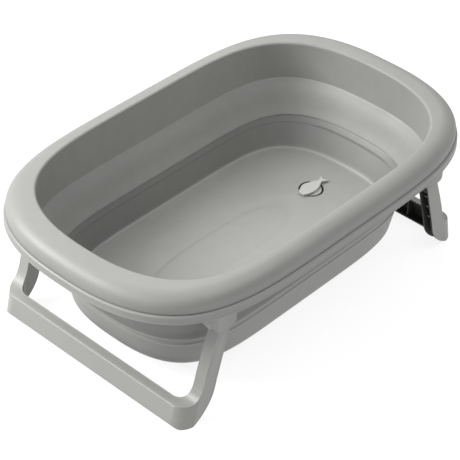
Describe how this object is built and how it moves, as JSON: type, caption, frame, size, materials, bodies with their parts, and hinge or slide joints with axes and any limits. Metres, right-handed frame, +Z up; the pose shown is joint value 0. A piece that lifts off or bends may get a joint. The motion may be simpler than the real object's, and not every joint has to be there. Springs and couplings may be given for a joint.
{
  "type": "folding baby bathtub",
  "caption": "Oval-cornered baby bathtub with a rolled rim, soft collapsible wall band, raised floor with a lift-out drain plug, and two fold-under U-shaped legs.",
  "frame": {"origin": "centre of the footprint, on the floor plane under the foot pads", "axes": "+X along the length towards the drain end, +Y across the width, +Z up"},
  "size_m": [0.8116, 0.5078, 0.2611],
  "materials": {
    "rim_plastic": "satin grey polypropylene",
    "soft_band": "smooth grey elastomer, softer sheen than the rim",
    "pan_plastic": "satin grey polypropylene",
    "seat_plastic": "satin darker grey",
    "plug_plastic": "satin light grey",
    "seal_rubber": "dark rubber",
    "leg_plastic": "satin grey polypropylene",
    "steel": "plain zinc-plated steel",
    "pad_rubber": "matt rubber"
  },
  "bodies": {
    "frame": {"upper_frame": "rim_plastic", "lower_ring": "rim_plastic", "fold_band": "soft_band", "ring_screw_1": "steel", "ring_screw_2": "steel", "ring_screw_3": "steel", "ring_screw_4": "steel", "ring_screw_5": "steel", "ring_screw_6": "steel", "ring_screw_7": "steel", "ring_screw_8": "steel", "hinge_pin_left_front": "steel", "hinge_pin_left_back": "steel", "hinge_pin_right_front": "steel", "hinge_pin_right_back": "steel"},
    "base": {"base_pan": "pan_plastic", "band_clamp": "pan_plastic", "drain_seat": "seat_plastic"},
    "plug": {"drain_plug": "plug_plastic", "plug_seal": "seal_rubber"},
    "left_leg": {"leg_left": "leg_plastic", "foot_pad_left_front": "pad_rubber", "foot_pad_left_back": "pad_rubber"},
    "right_leg": {"leg_right": "leg_plastic", "foot_pad_right_front": "pad_rubber", "foot_pad_right_back": "pad_rubber"}
  },
  "joints": [
    {"name": "basin_collapse", "type": "slide", "parent": "frame", "child": "base", "axis": [0, 0, 1], "range_m": [0, 0.119], "deforming": ["fold_band"]},
    {"name": "left_leg_fold", "type": "hinge", "parent": "frame", "child": "left_leg", "pos_m": [-0.2565, 0, 0.178], "axis": [0, -1, 0], "range_deg": [0, 90]},
    {"name": "right_leg_fold", "type": "hinge", "parent": "frame", "child": "right_leg", "pos_m": [0.2565, 0, 0.178], "axis": [0, 1, 0], "range_deg": [0, 90]},
    {"name": "plug_pull", "type": "slide", "parent": "base", "child": "plug", "axis": [0, 0, 1], "range_m": [0, 0.21]}
  ],
  "couplings": [
    {"joint": "left_leg_fold", "follows": "basin_collapse", "rad_per_m": 13.195},
    {"joint": "right_leg_fold", "follows": "basin_collapse", "rad_per_m": 13.195}
  ]
}
